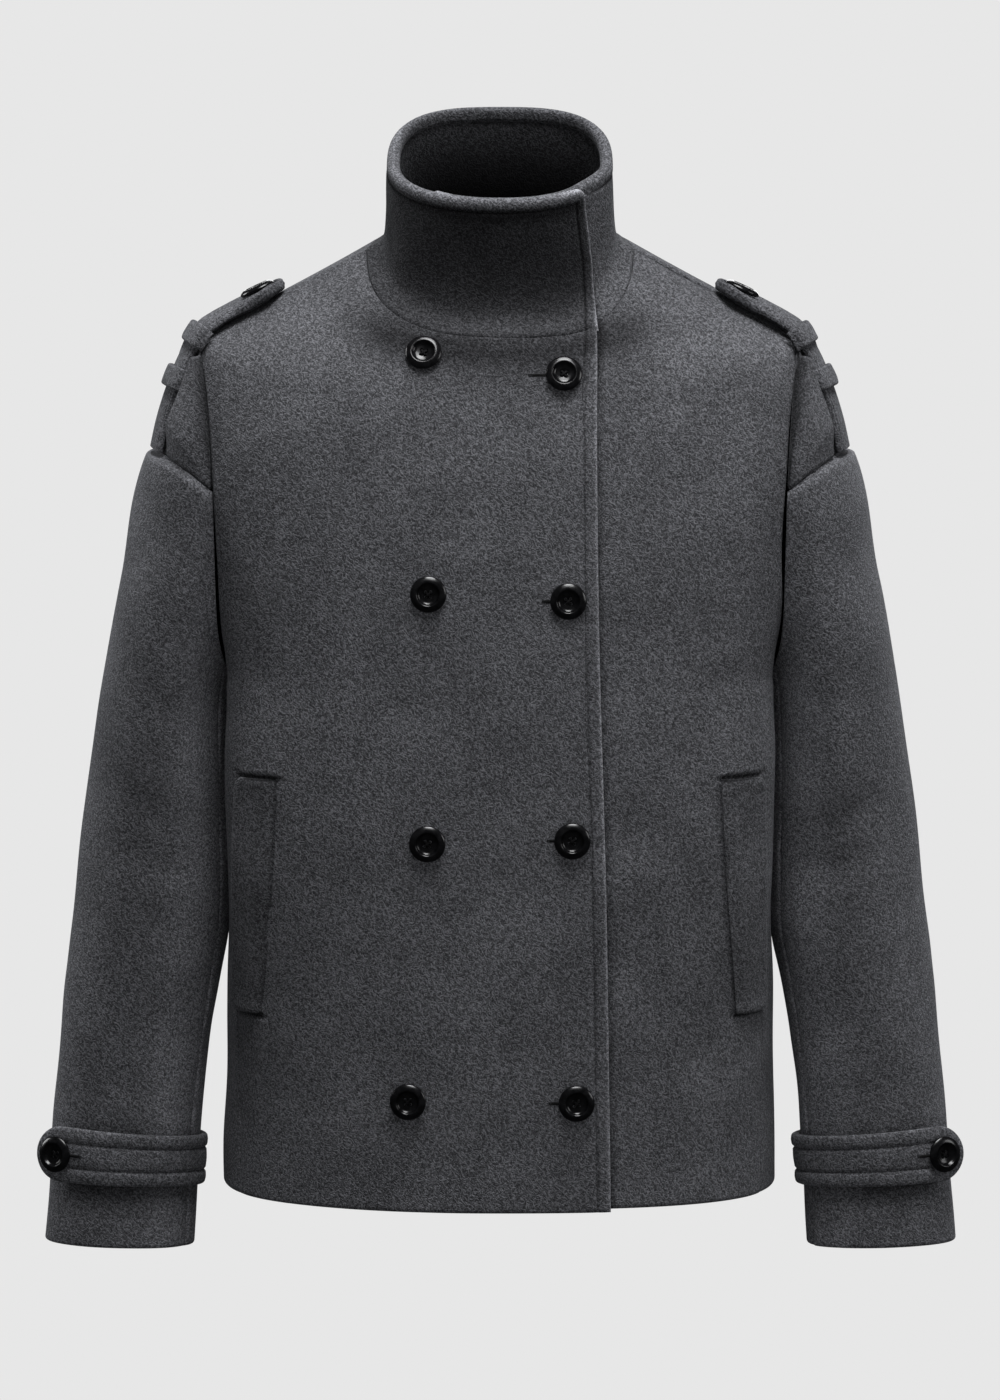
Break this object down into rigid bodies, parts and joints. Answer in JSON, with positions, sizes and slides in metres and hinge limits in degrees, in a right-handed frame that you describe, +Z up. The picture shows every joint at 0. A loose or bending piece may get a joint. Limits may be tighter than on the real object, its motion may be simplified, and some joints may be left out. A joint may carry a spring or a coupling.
{
  "type": "double-breasted pea coat",
  "caption": "Hip-length double-breasted wool pea coat with a high funnel collar, dropped sleeves, shoulder straps and buttoned cuff straps, held open as worn.",
  "frame": {"origin": "between the two neck points, where the wearer's shoulders carry the coat", "axes": "+Z up, along the wearer's spine; -Y is the front of the coat and +X the wearer's left"},
  "size_m": [0.6688, 0.274, 0.8193],
  "materials": {
    "melton": "charcoal brushed melton wool, matt, with short lighter fibres on the surface",
    "button": "glossy black four-hole coat button"
  },
  "bodies": {
    "root": {"front_right": "melton", "front_left": "melton", "back": "melton", "collar": "melton", "shoulder_panel_right": "melton", "shoulder_panel_left": "melton", "top_sleeve_right": "melton", "top_sleeve_left": "melton", "under_sleeve_right": "melton", "under_sleeve_left": "melton", "shoulder_strap_right": "melton", "shoulder_strap_left": "melton", "strap_loop_right_1": "melton", "strap_loop_right_2": "melton", "strap_loop_left_1": "melton", "strap_loop_left_2": "melton", "cuff_strap_right": "melton", "cuff_strap_left": "melton", "pocket_welt_right": "melton", "pocket_welt_left": "melton", "button_front_1": "button", "button_front_2": "button", "button_front_3": "button", "button_front_4": "button", "button_front_5": "button", "button_front_6": "button", "button_front_7": "button", "button_front_8": "button", "button_shoulder_right": "button", "button_shoulder_left": "button", "button_cuff_right": "button", "button_cuff_left": "button"}
  },
  "joints": []
}
